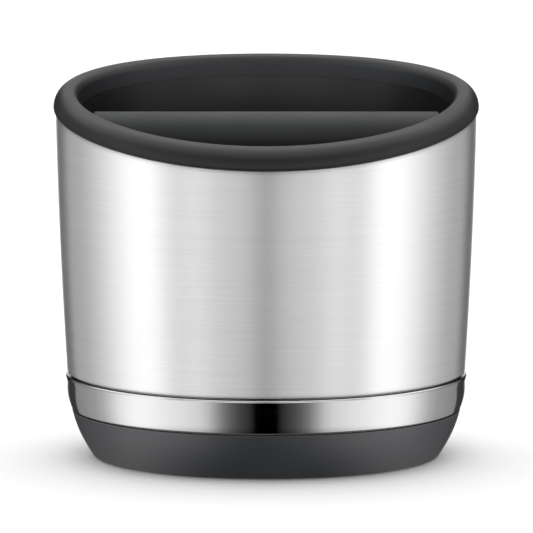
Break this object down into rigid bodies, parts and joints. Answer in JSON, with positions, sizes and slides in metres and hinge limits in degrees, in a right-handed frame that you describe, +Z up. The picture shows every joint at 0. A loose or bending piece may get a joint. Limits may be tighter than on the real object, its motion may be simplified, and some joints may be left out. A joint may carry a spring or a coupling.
{
  "type": "espresso knock box",
  "caption": "Oval knock box with a brushed steel sleeve, moulded bin, soft sloping rim ring, lift-out rubber covered bar, polished band and rubber foot.",
  "frame": {"origin": "on the table under the middle of the box, at the centre of the bottom of its bounding box", "axes": "+Z up, +X to the right along the bar, the low front of the rim towards -Y"},
  "size_m": [0.142, 0.12, 0.1297],
  "materials": {
    "soft_rubber": "soft matt dark grey rubber with a fine moulded grain",
    "brushed_steel": "stainless steel brushed round the body",
    "polished_steel": "mirror polished stainless steel",
    "dark_plastic": "matt black moulded plastic",
    "base_rubber": "matt dark grey rubber",
    "zinc_screw": "bright zinc plated steel",
    "plain_steel": "plain drawn steel tube"
  },
  "bodies": {
    "box": {"rim_ring": "soft_rubber", "outer_sleeve": "brushed_steel", "trim_band": "polished_steel", "inner_tub": "dark_plastic", "base_tray": "dark_plastic", "base_boot": "base_rubber", "base_screw_1": "zinc_screw", "base_screw_2": "zinc_screw", "base_screw_3": "zinc_screw", "base_screw_4": "zinc_screw", "socket_pad_left": "soft_rubber", "socket_pad_right": "soft_rubber"},
    "bar": {"bar_core": "plain_steel", "bar_rubber": "soft_rubber", "bar_cap_left": "dark_plastic", "bar_cap_right": "dark_plastic"}
  },
  "joints": [
    {"name": "bar_lift", "type": "slide", "parent": "box", "child": "bar", "axis": [0, 0, 1], "range_m": [0, 0.04]}
  ]
}
